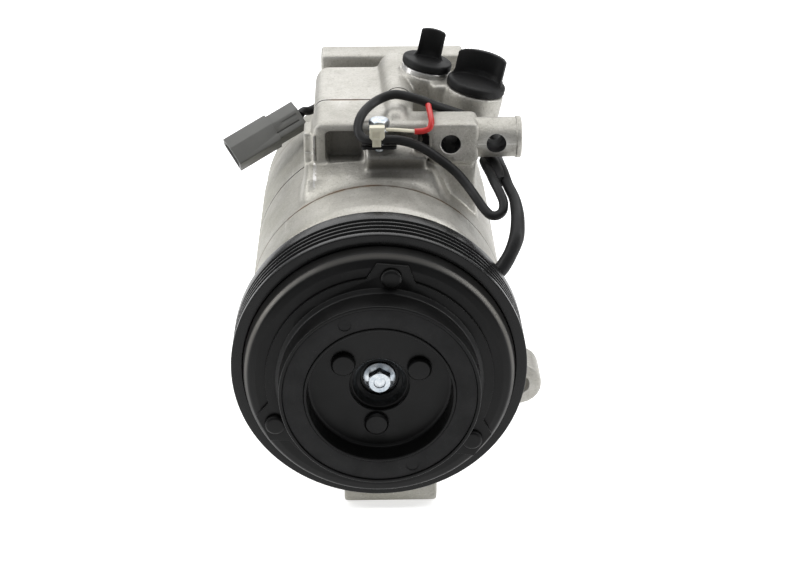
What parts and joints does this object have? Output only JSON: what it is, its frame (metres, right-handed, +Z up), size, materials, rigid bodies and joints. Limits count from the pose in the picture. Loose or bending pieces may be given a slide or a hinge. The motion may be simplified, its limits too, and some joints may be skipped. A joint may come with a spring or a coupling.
{
  "type": "automotive air-conditioning compressor",
  "caption": "Swash-plate car air-conditioning compressor with four-groove pulley, rubber-damped magnetic clutch, capped ports and clutch lead.",
  "frame": {"origin": "on the surface that the lower bosses stand on, under the middle of the part's box without its leads", "axes": "+Y along the drive shaft from the clutch to the rear housing, +Z up through the upper mounting bosses, +X to the right seen from the clutch"},
  "size_m": [0.1469, 0.2206, 0.1964],
  "materials": {
    "cast_aluminium": "as cast, shot blasted",
    "machined_aluminium": "ground",
    "bare_steel": "ground",
    "zinc_plate": "bright zinc",
    "black_paint": "satin black",
    "clamp_steel": "satin black",
    "black_rubber": "matte",
    "coil_resin": "matte",
    "cable_sleeve": "satin",
    "connector_plastic": "matte",
    "clip_plastic": "satin",
    "fuse_sleeve": "satin"
  },
  "bodies": {
    "castings": {"front_housing": "cast_aluminium", "front_cylinder_block": "cast_aluminium", "rear_cylinder_block": "cast_aluminium", "rear_housing": "cast_aluminium", "port_manifold": "cast_aluminium", "piston_1": "machined_aluminium", "piston_2": "machined_aluminium", "piston_3": "machined_aluminium", "piston_4": "machined_aluminium", "piston_5": "machined_aluminium", "front_valve_plate": "bare_steel", "rear_valve_plate": "bare_steel", "front_shaft_bearing": "bare_steel", "rear_shaft_bearing": "bare_steel", "front_thrust_bearing": "bare_steel", "rear_thrust_bearing": "bare_steel", "pulley_bearing_inner_ring": "bare_steel", "front_shoe_1": "bare_steel", "front_shoe_2": "bare_steel", "front_shoe_3": "bare_steel", "front_shoe_4": "bare_steel", "front_shoe_5": "bare_steel", "rear_shoe_1": "bare_steel", "rear_shoe_2": "bare_steel", "rear_shoe_3": "bare_steel", "rear_shoe_4": "bare_steel", "rear_shoe_5": "bare_steel", "through_bolt_1": "zinc_plate", "through_bolt_2": "zinc_plate", "through_bolt_3": "zinc_plate", "through_bolt_4": "zinc_plate", "through_bolt_5": "zinc_plate", "clamp_bolt": "zinc_plate", "lead_clamp": "clamp_steel", "discharge_port_plug": "black_rubber", "suction_port_plug": "black_rubber", "shaft_seal": "black_rubber", "clutch_coil": "coil_resin", "coil_lead_sleeve": "cable_sleeve", "clutch_lead": "cable_sleeve", "fuse_lead": "cable_sleeve", "lead_connector": "connector_plastic", "wire_clip": "clip_plastic", "thermal_fuse": "fuse_sleeve"},
    "pulley": {"pulley": "black_paint", "pulley_bearing_outer_ring": "bare_steel"},
    "shaft": {"drive_shaft": "bare_steel", "swash_plate": "bare_steel", "inner_hub": "black_paint", "hub_cup": "black_paint", "hub_rivet_1": "black_paint", "hub_rivet_2": "black_paint", "hub_rivet_3": "black_paint", "hub_bolt": "zinc_plate"},
    "armature": {"armature_plate": "black_paint", "outer_hub": "black_paint", "rubber_damper": "black_rubber", "armature_rivet_1": "black_paint", "armature_rivet_2": "black_paint", "armature_rivet_3": "black_paint"}
  },
  "joints": [
    {"name": "pulley_spin", "type": "hinge", "parent": "castings", "child": "pulley", "pos_m": [-0.00557, -0.0753, 0.0915], "axis": [0, 1, 0], "continuous": true},
    {"name": "shaft_spin", "type": "hinge", "parent": "castings", "child": "shaft", "pos_m": [-0.00557, -0.0753, 0.0915], "axis": [0, 1, 0], "continuous": true},
    {"name": "armature_pull", "type": "slide", "parent": "shaft", "child": "armature", "axis": [0, 1, 0], "range_m": [0, 0.0005], "stiffness_N_per_m": 20000}
  ]
}
